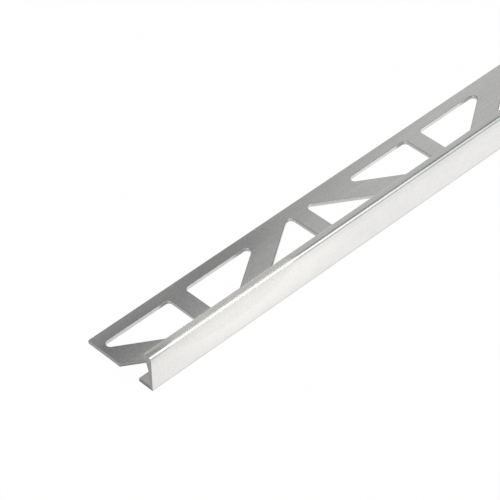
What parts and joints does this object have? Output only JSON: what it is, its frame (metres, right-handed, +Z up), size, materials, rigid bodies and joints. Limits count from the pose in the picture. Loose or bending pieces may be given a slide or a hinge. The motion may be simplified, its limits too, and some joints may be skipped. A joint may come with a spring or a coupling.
{
  "type": "tile edge trim",
  "caption": "Straight L-shaped metal edge trim for tiles, with a flat perforated anchoring leg and an upright wall that ends in a thicker head.",
  "frame": {"origin": "middle of the length and of the leg's width, at the leg's underside (the bottom centre of the box)", "axes": "+X along the trim, from the sawn end that the picture shows to the far end; +Y from the wall's outer face to the leg's free edge; +Z up, from the leg to the wall's head"},
  "size_m": [1, 0.0212, 0.01],
  "materials": {
    "aluminium": "satin mill finish, with fine lines along the length"
  },
  "bodies": {
    "root": {"edge_trim": "aluminium"}
  },
  "joints": []
}
